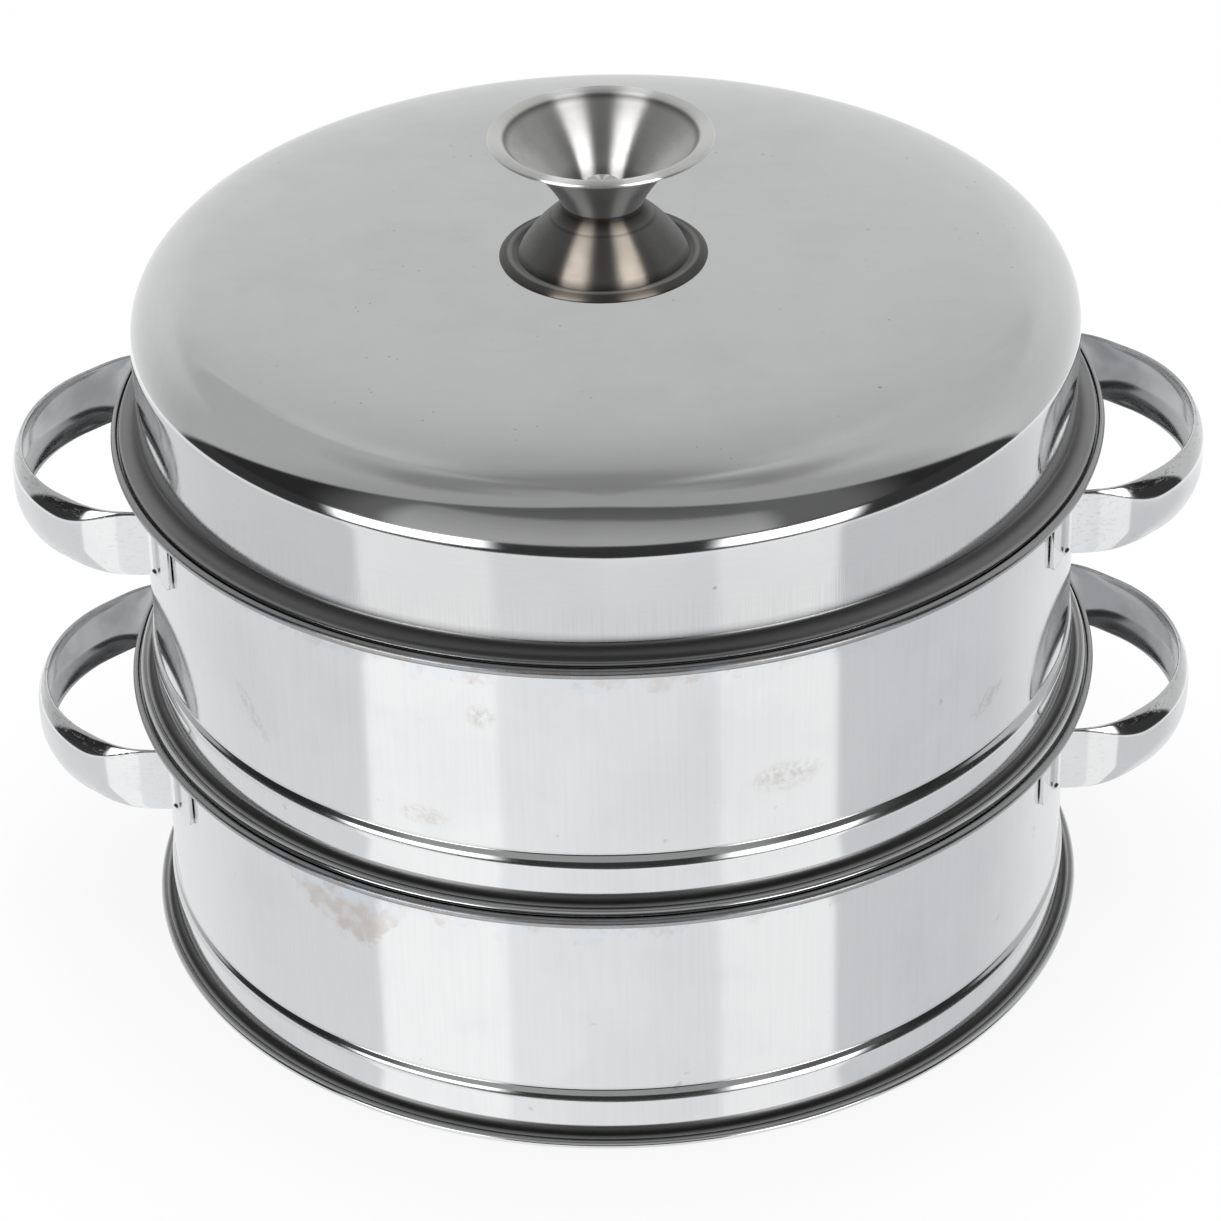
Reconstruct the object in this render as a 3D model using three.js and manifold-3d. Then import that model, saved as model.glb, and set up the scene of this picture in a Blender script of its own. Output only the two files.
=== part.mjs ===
// Stacking steamer in stainless sheet: a domed lid with a spool knob on two identical steam tiers.
// Each tier is an open band with a pressed-in perforated floor and two welded strap handles.
// Millimetres, +Z up, origin under the middle of the lower tier on the plane that it stands on.

import * as THREE from 'three';
import { mergeVertices } from 'three/addons/utils/BufferGeometryUtils.js';
import Module from 'manifold-3d';

const wasm = await Module();
wasm.setup();

// Smoothness of the facets
const turnSteps = 32; // flats round the tiers and the lid
const knobTurnSteps = 24; // flats round the knob pieces
const holeSides = 8; // flats round a steam hole
const loopSteps = 12; // facets along a handle's loop
const weldDistance = 0.001; // corners closer together than this are one corner

// Stock and clearances
const sheet = 0.8; // sheet of tiers, floors and lid
const seatGap = 0.3; // left between pieces that touch or are welded
const rollProud = 0.2; // rolled edges stand proud of the sheet beside them

// Tier band
const wallRadius = 130; // outside of the wall
const tierHeight = 77.45; // foot plane to the seat for the next tier
const skirtRadius = 132.4; // outside of the wider skirt under the step
const skirtTop = 12.6; // foot plane to the start of the step
const stepHeight = 3.6; // rise of the step from skirt to wall

// Rolled foot of a tier
const footRadius = 135.2;
const footHem = 2.5; // height of the rolled edge
const footCove = 3.4; // height of the cove between skirt and foot
const footLand = 1.4; // width of the flat ring that the tier stands on
const footPlay = 0.7; // sideways play inside the lip of the tier below

// Rim of a tier, with the lip that keeps the next foot centred
const rimHem = 1.8; // thickness of the folded rim
const rimCove = 4; // height of the cove under the rim
const seatWidth = 3.3;
const lipWidth = 1.5;
const lipRise = 1.2; // lip above the seat

// Perforated floor
const floorRim = 5; // depth of the turned-down rim
const floorCorner = 1.2; // outside radius between floor and rim
const holeDiameter = 10;
const holePitch = 34; // between the rings of holes
const holeRings = 3;
const holesPerRing = 6; // added with each ring outwards

// Strap handles
const strapSheet = 1;
const strapHeight = 19.6;
const strapDrop = 15; // seat plane down to the middle of the strap
const crownRadius = 7.6; // rounded shoulders of the strap
const crownSweep = 60; // degrees that the shoulders turn in
const handleReach = 166; // axis of the tier to the outside of the loop
const loopHalfWidth = 45; // half the width of the loop, outside
const rootStraight = 2; // straight between the bend and the loop
const bendRadius = 3; // bend from the weld tab into the loop
const tabLength = 9;
const tabHeight = 19.4;
const tabDrop = 14.9; // seat plane down to the middle of the weld tabs
const tabSweep = 5; // degrees of edge roll on the tabs
const crownBlend = 14; // run over which the flat root takes its crown

// Lid
const lidRadius = 129.8; // outside of the lid wall
const lidWallHeight = 28.8; // lid edge to the start of the shoulder
const shoulderRadius = 16.6; // between the wall and the crown
const crownRise = 0.4; // middle of the lid above the shoulder
const lidHem = 2; // height of the rolled edge
const lidCove = 2.8; // height of the cove above the edge
const lidLand = 1.6; // width of the flat ring that rests on the rim
const lidPlay = 0.7; // sideways play inside the lip

// Knob: two pressed cones set back to back and riveted
const knobSheet = 1;
const waistRadius = 10.9;
const neckHeight = 2.9; // short sloping neck on top of the lower cone
const neckFlare = 3; // neck wider at its foot than at the waist
const baseFlangeRadius = 28.4;
const baseFootRadius = 22.4; // foot of the lower cone
const baseFootBend = 1.6; // run of the bend from flange to cone
const baseSwell = 0.6; // lower cone swells past a straight side
const baseHeight = 15.6;
const cupHeight = 20.2;
const cupMouthRadius = 25.8; // inside of the mouth
const cupMouthBend = 1.2; // run of the bend from cup to rim
const cupHollow = 1.6; // cup drawn in from a straight side
const cupRimRadius = 30.6;
const rivetRadius = 2.5;
const rivetHeadRadius = 6;
const rivetCrownRadius = 4.8; // flat top of the rivet head
const rivetHeadHeight = 4.9;
const rivetTailRadius = 4.5;
const rivetTailHeight = 1.2;

// Steps along the rounded parts of a section
const coveSteps = 3;
const bendSteps = 2;
const lipSteps = 4;
const shoulderSteps = 4;
const coneSteps = 3;

// Sizes that follow
const tierPitch = tierHeight + seatGap;
const footEdgeCentre = footRadius - footHem / 2;
const lipInner = footRadius + footPlay;
const lidEdgeCentre = lipInner - lidPlay - lidHem / 2;
const lidTop = lidWallHeight + shoulderRadius + crownRise;

const point = (radius, height) => new THREE.Vector2(radius, height);
const toRadians = THREE.MathUtils.degToRad;
const mix = THREE.MathUtils.lerp;

// Points of an elliptical arc. 0 degrees points away from the axis and 90 points up.
function arc(centreR, centreZ, radiusR, radiusZ, fromDegrees, toDegrees, steps) {
  const points = [];
  for (let i = 0; i <= steps; i += 1) {
    const angle = toRadians(mix(fromDegrees, toDegrees, i / steps));
    points.push(point(centreR + radiusR * Math.cos(angle), centreZ + radiusZ * Math.sin(angle)));
  }
  return points;
}

// Joins runs of points into one section and drops a point that repeats the one before it.
function section(...runs) {
  const points = [];
  for (const next of runs.flat()) {
    const last = points[points.length - 1];
    if (!last || last.distanceTo(next) > 1e-6) points.push(next);
  }
  return points;
}

// Turns a section round the Z axis. The section runs up its outside and down its inside.
function turned(points, steps) {
  const geometry = new THREE.LatheGeometry(points, steps);
  geometry.rotateX(Math.PI / 2);
  return geometry;
}

// A ring whose section closes on itself.
function turnedRing(points, steps) {
  return turned([...points, points[0].clone()], steps);
}

// Bare closed geometry with shared corners merged and empty facets dropped.
function welded(geometry) {
  const bare = geometry.clone();
  bare.deleteAttribute('normal');
  bare.deleteAttribute('uv');
  const merged = mergeVertices(bare, weldDistance);
  const index = merged.index.array;
  const corners = [];
  for (let i = 0; i < index.length; i += 3) {
    const [a, b, c] = index.slice(i, i + 3);
    if (a !== b && b !== c && c !== a) corners.push(a, b, c);
  }
  merged.setIndex(corners);
  return merged;
}

// Closed geometry to a solid for cutting and joining.
function toSolid(geometry) {
  const whole = welded(geometry);
  const vertProperties = new Float32Array(whole.attributes.position.array);
  const triVerts = new Uint32Array(whole.index.array);
  return new wasm.Manifold(new wasm.Mesh({ numProp: 3, vertProperties, triVerts }));
}

function toGeometry(solid) {
  const mesh = solid.getMesh();
  const geometry = new THREE.BufferGeometry();
  geometry.setAttribute('position', new THREE.BufferAttribute(new Float32Array(mesh.vertProperties), 3));
  geometry.setIndex(Array.from(mesh.triVerts));
  return welded(geometry);
}

// Section of a pressed sheet: half its thickness to each side of a path along its middle.
// The path runs up, or inwards over a flat top, with the outside of the sheet on its right.
function sheetSection(path, thickness) {
  const side = (offset) => path.map((spot, i) => {
    const before = path[Math.max(i - 1, 0)];
    const after = path[Math.min(i + 1, path.length - 1)];
    const along = after.clone().sub(before).normalize();
    return point(spot.x + along.y * offset, spot.y - along.x * offset);
  });
  return [...side(thickness / 2), ...side(-thickness / 2).reverse()];
}

// The step from skirt to wall along the middle of the sheet: two equal arcs, which stop at a
// quarter turn and leave a flat tread between them where the step is wider than it is high.
function stepRun(skirtMiddle, wallMiddle) {
  const quarter = Math.PI / 2;
  const lean = 2 * Math.atan2(skirtMiddle - wallMiddle, stepHeight);
  const sweep = THREE.MathUtils.clamp(lean, -quarter, quarter);
  const radius = stepHeight / (2 * Math.sin(sweep));
  const degrees = THREE.MathUtils.radToDeg(sweep);
  return section(
    arc(skirtMiddle - radius, skirtTop, radius, radius, 0, degrees, bendSteps),
    arc(wallMiddle + radius, skirtTop + stepHeight, radius, radius, 180 + degrees, 180, bendSteps),
  );
}

// Band of a tier: one sheet from foot to rim, a rolled foot with a flat land, and a folded rim
// with the seat and the lip for the next foot.
function tierShell() {
  const half = sheet / 2;
  const sunk = half + rollProud;
  const wallMiddle = wallRadius - half;
  const skirtMiddle = skirtRadius - half;
  const footTop = footHem + footCove;
  const landInner = footEdgeCentre - footLand;
  const rimUnder = tierHeight - rimHem;
  const coveBottom = rimUnder - rimCove;
  const seatInner = lipInner - seatWidth;
  const lipHalf = (rimHem + lipRise) / 2;
  const band = sheetSection(section(
    arc(footEdgeCentre, footTop, footEdgeCentre - skirtMiddle, footCove + sunk, 270, 180, coveSteps),
    stepRun(skirtMiddle, wallMiddle),
    arc(lipInner, coveBottom, lipInner - wallMiddle, rimCove + sunk, 180, 90, coveSteps),
  ), sheet);
  const foot = section(
    arc(footEdgeCentre, footHem / 2, footHem / 2, footHem / 2, -90, 90, lipSteps),
    arc(landInner, footHem / 2, footHem / 2, footHem / 2, 90, 270, bendSteps),
  );
  const rim = section(
    arc(lipInner, rimUnder + lipHalf, lipWidth, lipHalf, -90, 90, lipSteps),
    point(lipInner, tierHeight),
    arc(seatInner, rimUnder + rimHem / 2, rimHem / 2, rimHem / 2, 90, 270, bendSteps),
  );
  const rings = [band, foot, rim].map((points) => toSolid(turnedRing(points, turnSteps)));
  return toGeometry(rings.reduce((whole, ring) => whole.add(ring)));
}

// Pressed floor: a perforated disc whose turned-down rim fits up inside the skirt.
function steamFloor() {
  const outer = skirtRadius - sheet - seatGap;
  const rimBottom = skirtTop - floorRim;
  const cornerR = outer - floorCorner;
  const cornerZ = skirtTop - floorCorner;
  const innerCorner = floorCorner - sheet;
  const punchHeight = 3 * sheet; // passes both faces
  const disc = turned(section(
    point(0, skirtTop - sheet),
    arc(cornerR, cornerZ, innerCorner, innerCorner, 90, 0, 1),
    point(outer - sheet, rimBottom),
    point(outer, rimBottom),
    arc(cornerR, cornerZ, floorCorner, floorCorner, 0, 90, 1),
    point(0, skirtTop),
  ), turnSteps);
  let solid = toSolid(disc);
  for (const { x, y } of holeCentres()) {
    const punch = new THREE.CylinderGeometry(holeDiameter / 2, holeDiameter / 2, punchHeight, holeSides);
    punch.rotateX(Math.PI / 2);
    punch.translate(x, y, skirtTop - sheet / 2);
    solid = solid.subtract(toSolid(punch));
  }
  return toGeometry(solid);
}

// One hole in the middle and rings of evenly spaced holes round it.
function holeCentres() {
  const centres = [point(0, 0)];
  for (let ring = 1; ring <= holeRings; ring += 1) {
    const count = ring * holesPerRing;
    for (let i = 0; i < count; i += 1) {
      const angle = (2 * Math.PI * (i + ring / 2)) / count;
      centres.push(point(ring * holePitch * Math.cos(angle), ring * holePitch * Math.sin(angle)));
    }
  }
  return centres;
}

// Strap section at one place: crown 0 is the flat weld tab and 1 the rounded strap.
// x is the distance out of the loop's outer face and y the height in the tier.
function strapSection(crown) {
  const half = mix(tabHeight, strapHeight, crown) / 2;
  const middle = tierHeight - mix(tabDrop, strapDrop, crown);
  const sweep = mix(tabSweep, crownSweep, crown);
  const flat = half - crownRadius * Math.sin(toRadians(sweep));
  const face = (radius) => [
    ...arc(-crownRadius, middle - flat, radius, radius, -sweep, 0, bendSteps),
    ...arc(-crownRadius, middle + flat, radius, radius, 0, sweep, bendSteps),
  ];
  return [...face(crownRadius), ...face(crownRadius - strapSheet).reverse()];
}

// Places along the strap in plan, from one tab end to the other, with the outward normal at each.
function strapPlaces() {
  const tabFace = wallRadius + seatGap + strapSheet;
  const bendY = loopHalfWidth + bendRadius;
  const bendX = Math.sqrt((tabFace + bendRadius) ** 2 - bendY ** 2);
  const bendAngle = Math.atan2(bendY, bendX);
  const tabAngle = bendAngle + tabLength / tabFace;
  const loopCentre = bendX + rootStraight;
  const reach = handleReach - loopCentre;
  const quarter = Math.PI / 2;
  const runs = [
    [new THREE.EllipseCurve(0, 0, tabFace, tabFace, tabAngle, bendAngle, true), bendSteps],
    [new THREE.EllipseCurve(bendX, bendY, bendRadius, bendRadius, bendAngle + Math.PI, 3 * quarter), coveSteps],
    [new THREE.EllipseCurve(loopCentre, 0, reach, loopHalfWidth, quarter, -quarter, true), loopSteps],
    [new THREE.EllipseCurve(bendX, -bendY, bendRadius, bendRadius, quarter, Math.PI - bendAngle), coveSteps],
    [new THREE.EllipseCurve(0, 0, tabFace, tabFace, -bendAngle, -tabAngle, true), bendSteps],
  ];
  const places = [];
  for (const [curve, steps] of runs) {
    for (let i = 0; i <= steps; i += 1) {
      const spot = curve.getPoint(i / steps);
      const along = curve.getTangent(i / steps);
      const last = places[places.length - 1];
      if (last && last.spot.distanceTo(spot) < 1e-6) continue;
      const fromRoot = Math.max(0, Math.hypot(spot.x - bendX, Math.abs(spot.y) - loopHalfWidth) - bendRadius);
      const crown = spot.x > bendX ? THREE.MathUtils.smoothstep(fromRoot, 0, crownBlend) : 0;
      places.push({ spot, normal: point(-along.y, along.x), crown });
    }
  }
  return places;
}

// Strap handle: the section carried along the plan curve, with closed ends.
function strapHandle() {
  const corners = [];
  const places = strapPlaces();
  for (const { spot, normal, crown } of places) {
    for (const { x, y } of strapSection(crown)) {
      corners.push(spot.x + normal.x * x, spot.y + normal.y * x, y);
    }
  }
  const outline = strapSection(0);
  const around = outline.length;
  const index = [];
  for (let ring = 0; ring + 1 < places.length; ring += 1) {
    for (let i = 0; i < around; i += 1) {
      const a = ring * around + i;
      const b = ring * around + ((i + 1) % around);
      index.push(a, b, b + around, a, b + around, a + around);
    }
  }
  const lastRing = (places.length - 1) * around;
  for (const [a, b, c] of THREE.ShapeUtils.triangulateShape(outline, [])) {
    index.push(c, b, a, lastRing + a, lastRing + b, lastRing + c);
  }
  const geometry = new THREE.BufferGeometry();
  geometry.setAttribute('position', new THREE.Float32BufferAttribute(corners, 3));
  geometry.setIndex(index);
  return geometry;
}

// Crown of the lid at a depth under its outer face, from the axis out to the shoulder.
function lidCrown(depth) {
  const top = lidTop - depth;
  return [point(0, top), point(lidRadius - shoulderRadius, top - crownRise)];
}

// Lid: flat crown, round shoulder, wall, cove and a rolled edge that rests on the rim.
function lidShell() {
  const coveTop = lidHem + lidCove;
  const landInner = lidEdgeCentre - lidLand;
  const wallInner = lidRadius - sheet;
  const shoulderCentre = lidRadius - shoulderRadius;
  const inside = shoulderRadius - sheet;
  return turned(section(
    lidCrown(sheet),
    arc(shoulderCentre, lidWallHeight, inside, inside, 90, 0, shoulderSteps),
    arc(landInner, coveTop, landInner - wallInner, coveTop, 180, 270, coveSteps),
    arc(lidEdgeCentre, lidHem / 2, lidHem / 2, lidHem / 2, -90, 90, lipSteps),
    arc(lidEdgeCentre, coveTop, lidEdgeCentre - lidRadius, lidCove, 270, 180, coveSteps),
    arc(shoulderCentre, lidWallHeight, shoulderRadius, shoulderRadius, 0, 90, shoulderSteps),
    lidCrown(0).reverse(),
  ), turnSteps);
}

// Points of a bowed side from one point to another, its middle pulled to the right of the way.
function bowed(from, to, pull, steps) {
  const along = to.clone().sub(from).normalize();
  const middle = from.clone().lerp(to, 1 / 2);
  const control = point(middle.x + 2 * pull * along.y, middle.y - 2 * pull * along.x);
  return new THREE.QuadraticBezierCurve(from, control, to).getPoints(steps);
}

// Lower cone of the knob: flange on the lid, swelling cone, short neck, rivet hole in its top.
function knobBase() {
  const half = knobSheet / 2;
  const top = baseHeight - half;
  const neckFoot = point(waistRadius + neckFlare - half, baseHeight - neckHeight);
  return turnedRing(sheetSection(section(
    [point(baseFlangeRadius, half), point(baseFootRadius + baseFootBend, half)],
    bowed(point(baseFootRadius, half + baseFootBend), neckFoot, baseSwell, coneSteps),
    [point(waistRadius - half, top), point(rivetRadius + seatGap, top)],
  ), knobSheet), knobTurnSteps);
}

// Upper cone of the knob: a drawn-in funnel with a flat rim, standing on the lower cone.
function knobCup() {
  const half = knobSheet / 2;
  const top = cupHeight - half;
  const waist = point(waistRadius - half, half);
  const mouth = point(cupMouthRadius, top - cupMouthBend);
  return turnedRing(sheetSection(section(
    [point(rivetRadius + seatGap, half)],
    bowed(waist, mouth, -cupHollow, coneSteps),
    [point(cupMouthRadius + cupMouthBend, top), point(cupRimRadius, top)],
  ), knobSheet), knobTurnSteps);
}

// Rivet through both cones: raised head in the cup, upset tail inside the lower cone.
function knobRivet() {
  const headUnder = knobSheet + seatGap;
  const headTop = headUnder + rivetHeadHeight;
  const tailTop = -seatGap * 2 - knobSheet;
  return turned(section(
    point(0, tailTop - rivetTailHeight),
    point(rivetTailRadius, tailTop - rivetTailHeight),
    point(rivetTailRadius, tailTop),
    point(rivetRadius, tailTop),
    point(rivetRadius, headUnder),
    point(rivetHeadRadius, headUnder),
    point(rivetHeadRadius, mix(headUnder, headTop, 1 / 2)),
    point(rivetCrownRadius, headTop),
    point(0, headTop),
  ), knobTurnSteps);
}

const group = new THREE.Group();

function addPiece(parent, name, geometry, colour, roughness) {
  const material = new THREE.MeshStandardMaterial({ color: colour, roughness, metalness: 1 });
  const mesh = new THREE.Mesh(geometry, material);
  mesh.name = name;
  parent.add(mesh);
  return mesh;
}

['lower', 'upper'].forEach((tier, level) => {
  const stack = new THREE.Group();
  stack.position.z = level * tierPitch;
  group.add(stack);
  addPiece(stack, `${tier}_shell`, tierShell(), 0xd6d8da, 0.16);
  addPiece(stack, `${tier}_steam_floor`, steamFloor(), 0xc9cbcd, 0.3);
  ['right', 'left'].forEach((side, turn) => {
    const handle = addPiece(stack, `${tier}_handle_${side}`, strapHandle(), 0xd9dadb, 0.14);
    handle.rotation.z = turn * Math.PI;
  });
});

const lid = new THREE.Group();
lid.position.z = 2 * tierPitch;
group.add(lid);
addPiece(lid, 'lid_shell', lidShell(), 0xcfd0d2, 0.18);

const knob = new THREE.Group();
knob.position.z = lidTop + seatGap;
lid.add(knob);
addPiece(knob, 'knob_base', knobBase(), 0x9c9a97, 0.32);
const cupLevel = baseHeight + seatGap;
addPiece(knob, 'knob_cup', knobCup(), 0xb5b4b2, 0.3).position.z = cupLevel;
addPiece(knob, 'knob_rivet', knobRivet(), 0xa9a8a6, 0.35).position.z = cupLevel;

export default group;
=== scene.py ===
# Stacking steamer pot: smooth sheet-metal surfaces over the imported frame, steel finishes and a white studio.
import math

import bpy
import bmesh
import numpy as np
from mathutils import Matrix, Vector


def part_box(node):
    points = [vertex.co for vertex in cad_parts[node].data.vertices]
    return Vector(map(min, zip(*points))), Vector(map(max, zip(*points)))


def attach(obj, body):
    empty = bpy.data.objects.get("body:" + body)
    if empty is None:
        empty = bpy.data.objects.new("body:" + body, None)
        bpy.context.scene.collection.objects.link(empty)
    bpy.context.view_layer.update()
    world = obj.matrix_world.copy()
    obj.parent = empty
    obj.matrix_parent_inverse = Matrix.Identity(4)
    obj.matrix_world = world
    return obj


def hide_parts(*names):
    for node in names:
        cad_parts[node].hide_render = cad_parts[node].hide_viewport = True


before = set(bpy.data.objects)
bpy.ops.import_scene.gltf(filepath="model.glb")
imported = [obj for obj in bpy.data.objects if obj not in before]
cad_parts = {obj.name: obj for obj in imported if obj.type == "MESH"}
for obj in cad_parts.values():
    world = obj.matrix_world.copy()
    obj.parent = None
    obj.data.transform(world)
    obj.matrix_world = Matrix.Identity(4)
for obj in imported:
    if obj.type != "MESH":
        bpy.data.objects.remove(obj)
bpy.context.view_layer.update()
mm = 0.001  # sizes below are in millimetres, meshes in metres
perRadian = math.degrees(1)  # degrees in a radian
print("frame loaded:", ", ".join(sorted(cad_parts)))


# sections: arrays of (radius, height) points

def arcRun(centreR, centreZ, radiusR, radiusZ, fromDegrees, toDegrees, count):
    # elliptical arc, 0 degrees away from the axis and 90 degrees up
    angle = np.radians(np.linspace(fromDegrees, toDegrees, count))
    return np.column_stack([centreR + radiusR * np.cos(angle), centreZ + radiusZ * np.sin(angle)])


def lineRun(start, end, count=2):
    # even steps along a straight line
    return np.linspace(start, end, count)


def bowedRun(start, end, pull, count):
    # quadratic curve from start to end, its middle pulled to the right of the way
    start, end = np.array(start, float), np.array(end, float)
    along = (end - start) / np.linalg.norm(end - start)
    control = (start + end) / 2 + 2 * pull * np.array([along[1], -along[0]])
    return quadraticRun(start, control, end, count)


def quadraticRun(start, control, end, count):
    # leaves the start towards the control point and comes to the end from it
    t = np.linspace(0, 1, count)[:, None]
    return (1 - t) ** 2 * start + 2 * t * (1 - t) * control + t ** 2 * end


def stepLengths(points):
    # distance from each point to the next
    return np.linalg.norm(np.diff(points, axis=0), axis=1)


def joinRuns(*runs):
    # runs end to end, without points that repeat the one before
    points = np.vstack(runs)
    return points[np.r_[True, stepLengths(points) > 1e-6]]


def meetRuns(first, second):
    # first run up to where it crosses the second, then the second from there on
    p, r = first[:-1, None], np.diff(first, axis=0)[:, None]
    q, s = second[None, :-1], np.diff(second, axis=0)[None]
    turn = lambda a, b: a[..., 0] * b[..., 1] - a[..., 1] * b[..., 0]
    both = turn(r, s)
    both = np.where(np.abs(both) < 1e-12, 1e-12, both)
    t, u = turn(q - p, s) / both, turn(q - p, r) / both
    i, j = np.argwhere((t >= 0) & (t <= 1) & (u >= 0) & (u <= 1))[0]
    spot = first[i] + t[i, j] * (first[i + 1] - first[i])
    return np.vstack([first[: i + 1], spot, second[j + 1:]])


def smooth(low, high, value):
    # 0 below low, 1 above high and an easy S between
    t = np.clip((value - low) / (high - low), 0, 1)
    return t * t * (3 - 2 * t)


# meshes from arrays

def makePiece(name, points, faces, crease, **marks):
    # mesh from points in millimetres, values painted on the points, sharp edges past the crease angle
    mesh = bpy.data.meshes.new(name)
    mesh.from_pydata((points * mm).tolist(), [], faces)
    for mark, values in marks.items():
        layer = mesh.attributes.new(mark, "FLOAT", "POINT")
        layer.data.foreach_set("value", np.ascontiguousarray(values, np.float32))
    mesh.shade_smooth()
    mesh.set_sharp_from_angle(angle=math.radians(crease))
    mesh.update()
    piece = bpy.data.objects.new(name, mesh)
    bpy.context.collection.objects.link(piece)
    return piece


def gridFaces(rows, around, closed=False):
    # quads between neighbouring rings of points, the last and first too where closed
    a, j = np.meshgrid(np.arange(rows if closed else rows - 1), np.arange(around), indexing="ij")
    b, k = (a + 1) % rows, (j + 1) % around
    return np.stack([a * around + j, a * around + k, b * around + k, b * around + j], -1).reshape(-1, 4)


def turnedPiece(name, section, base, steps, poles=False, crease=38, **marks):
    # (radius, height) section turned round Z: x = r cos a, y = r sin a, z = base + h
    # a closed section wraps on itself, one with poles starts and ends on the axis
    angle = np.linspace(0, 2 * np.pi, steps, endpoint=False)
    radius, height = section[:, :1], section[:, 1:]
    grid = np.stack(np.broadcast_arrays(radius * np.cos(angle), radius * np.sin(angle), base + height), -1)
    faces = gridFaces(len(section), steps, not poles)
    values = {mark: np.repeat(line, steps) for mark, line in marks.items()}
    piece = makePiece(name, grid.reshape(-1, 3), faces.tolist(), crease, **values)
    if poles:
        weldPoints(piece, crease)
    return piece


def weldPoints(piece, crease):
    # rows on the axis and edges that two cells share become single points and edges
    shape = bmesh.new()
    shape.from_mesh(piece.data)
    bmesh.ops.remove_doubles(shape, verts=shape.verts, dist=1e-7)
    shape.to_mesh(piece.data)
    shape.free()
    piece.data.set_sharp_from_angle(angle=math.radians(crease))


def placePiece(piece, body, slot, finish, *nodes):
    # stands in for its nodes, moves with a body
    piece.data.materials.append(finish)
    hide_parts(*nodes)
    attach(piece, body)
    print("  piece", piece.name, "faces", len(piece.data.polygons))
    return piece


# shader maths: a wrapped socket, whose arithmetic adds Math nodes

class Wire:
    def __init__(self, finish, socket):
        self.finish = finish
        self.socket = socket

    def math(self, operation, *others):
        # this value first, then the others
        return self.finish.add("Math", dict(enumerate((self, *others))), operation=operation)

    def __add__(self, other): return self.math("ADD", other)
    def __sub__(self, other): return self.math("SUBTRACT", other)
    def __mul__(self, other): return self.math("MULTIPLY", other)
    def __truediv__(self, other): return self.math("DIVIDE", other)
    def __pow__(self, other): return self.math("POWER", other)

    def eased(self, low, high):
        # 0 to 1 between two values, also falling where low is above high
        sockets = {"Value": self, "From Min": low, "From Max": high}
        return self.finish.add("MapRange", sockets, interpolation_type="SMOOTHSTEP")

    def plateau(self, a, b, c, d):
        # 1 from b to c, easing to 0 at a and at d
        return self.eased(a, b) * self.eased(d, c)


class Finish:
    # node tree of one material or of the world
    def __init__(self, owner):
        self.owner = owner
        owner.use_nodes = True
        self.tree = owner.node_tree
        self.tree.nodes.clear()

    def add(self, kind, sockets=None, out=0, **settings):
        # any node: its settings first, then the values or links of its sockets
        node = self.tree.nodes.new("ShaderNode" + kind)
        for key, value in settings.items():
            setattr(node, key, value)
        for key, value in (sockets or {}).items():
            if isinstance(value, Wire):
                self.tree.links.new(value.socket, node.inputs[key])
            else:
                node.inputs[key].default_value = value
        return Wire(self, node.outputs[out]) if node.outputs else node

    def mix(self, share, first, second):
        # colours by a share from 0 to 1; sockets 6 and 7 are the colour inputs, 2 the colour output
        return self.add("Mix", {0: share, 6: first, 7: second}, out=2, data_type="RGBA")

    def place(self, space="Object"):
        # coordinates as a vector and as three values
        spot = self.add("TexCoord", out=space)
        return spot, [self.add("SeparateXYZ", {0: spot}, axis) for axis in "XYZ"]

    def mark(self, name):
        # value painted on the mesh
        return self.add("Attribute", out="Fac", attribute_name=name)

    def stretch(self, x, y, z):
        # vector from three values
        return self.add("CombineXYZ", {0: x, 1: y, 2: z})

    def noise(self, spot, scale, detail, rough):
        # fractal noise round 0.5
        return self.add("TexNoise", {"Vector": spot, "Scale": scale, "Detail": detail, "Roughness": rough})


def colour(red, green, blue):
    # opaque
    return (red, green, blue, 1)


def grey(tone):
    # opaque, the same in all three
    return colour(tone, tone, tone)


# finishes, with heights and places in metres

def finishMaterial(name):
    # empty node tree of a new material
    return Finish(bpy.data.materials.new(name))


def steelOut(finish, base, rough, bump, depth, aniso=0.0, turn=0.0):
    # metal shader: bump heights from 0 to 1 stand for a depth in metres
    normal = finish.add("Bump", {"Height": bump, "Strength": 1.0, "Distance": depth})
    steel = finish.add("BsdfPrincipled", {
        "Base Color": base, "Metallic": 1.0, "Roughness": rough, "Normal": normal,
        "Anisotropic": aniso, "Anisotropic Rotation": turn})
    finish.add("OutputMaterial", {"Surface": steel})
    return finish.owner


polishedLook = dict(
    bright=colour(0.80, 0.805, 0.81), cloud=colour(0.73, 0.735, 0.745), grimeAndShade=colour(0.022, 0.020, 0.018),
    stain=colour(0.50, 0.475, 0.43), heat=colour(0.62, 0.57, 0.54), heatBlue=colour(0.71, 0.79, 0.86),
    rough=0.07, roughCloud=0.03, roughGrime=0.36, waves=0.0003,
    # heat tint and its deep lobe on the lower tier: turns from the front where each starts and stops
    tintTurns=(-52.0, -44.0, 10.0, 45.0), lobeTurns=(-47.0, -35.0, -32.0, -24.0), lobeTop=(0.080, 0.078),
    lobeDepth=14.0, blotDepth=26.0, mottleDepth=6.0, tintStart=12.5,
    # smears: degrees from the front, millimetres up, half width in degrees, half height, lean in degrees a millimetre
    smears=((-47.6, 113.5, 1.6, 8, -0.34), (-15.3, 135.5, 2.0, 4, 0), (-22.8, 101.5, 3.4, 3.5, 0),
            (50.0, 109.5, 3.0, 4.5, 0.5), (20.0, 113.0, 5.0, 5, 0)))


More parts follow.
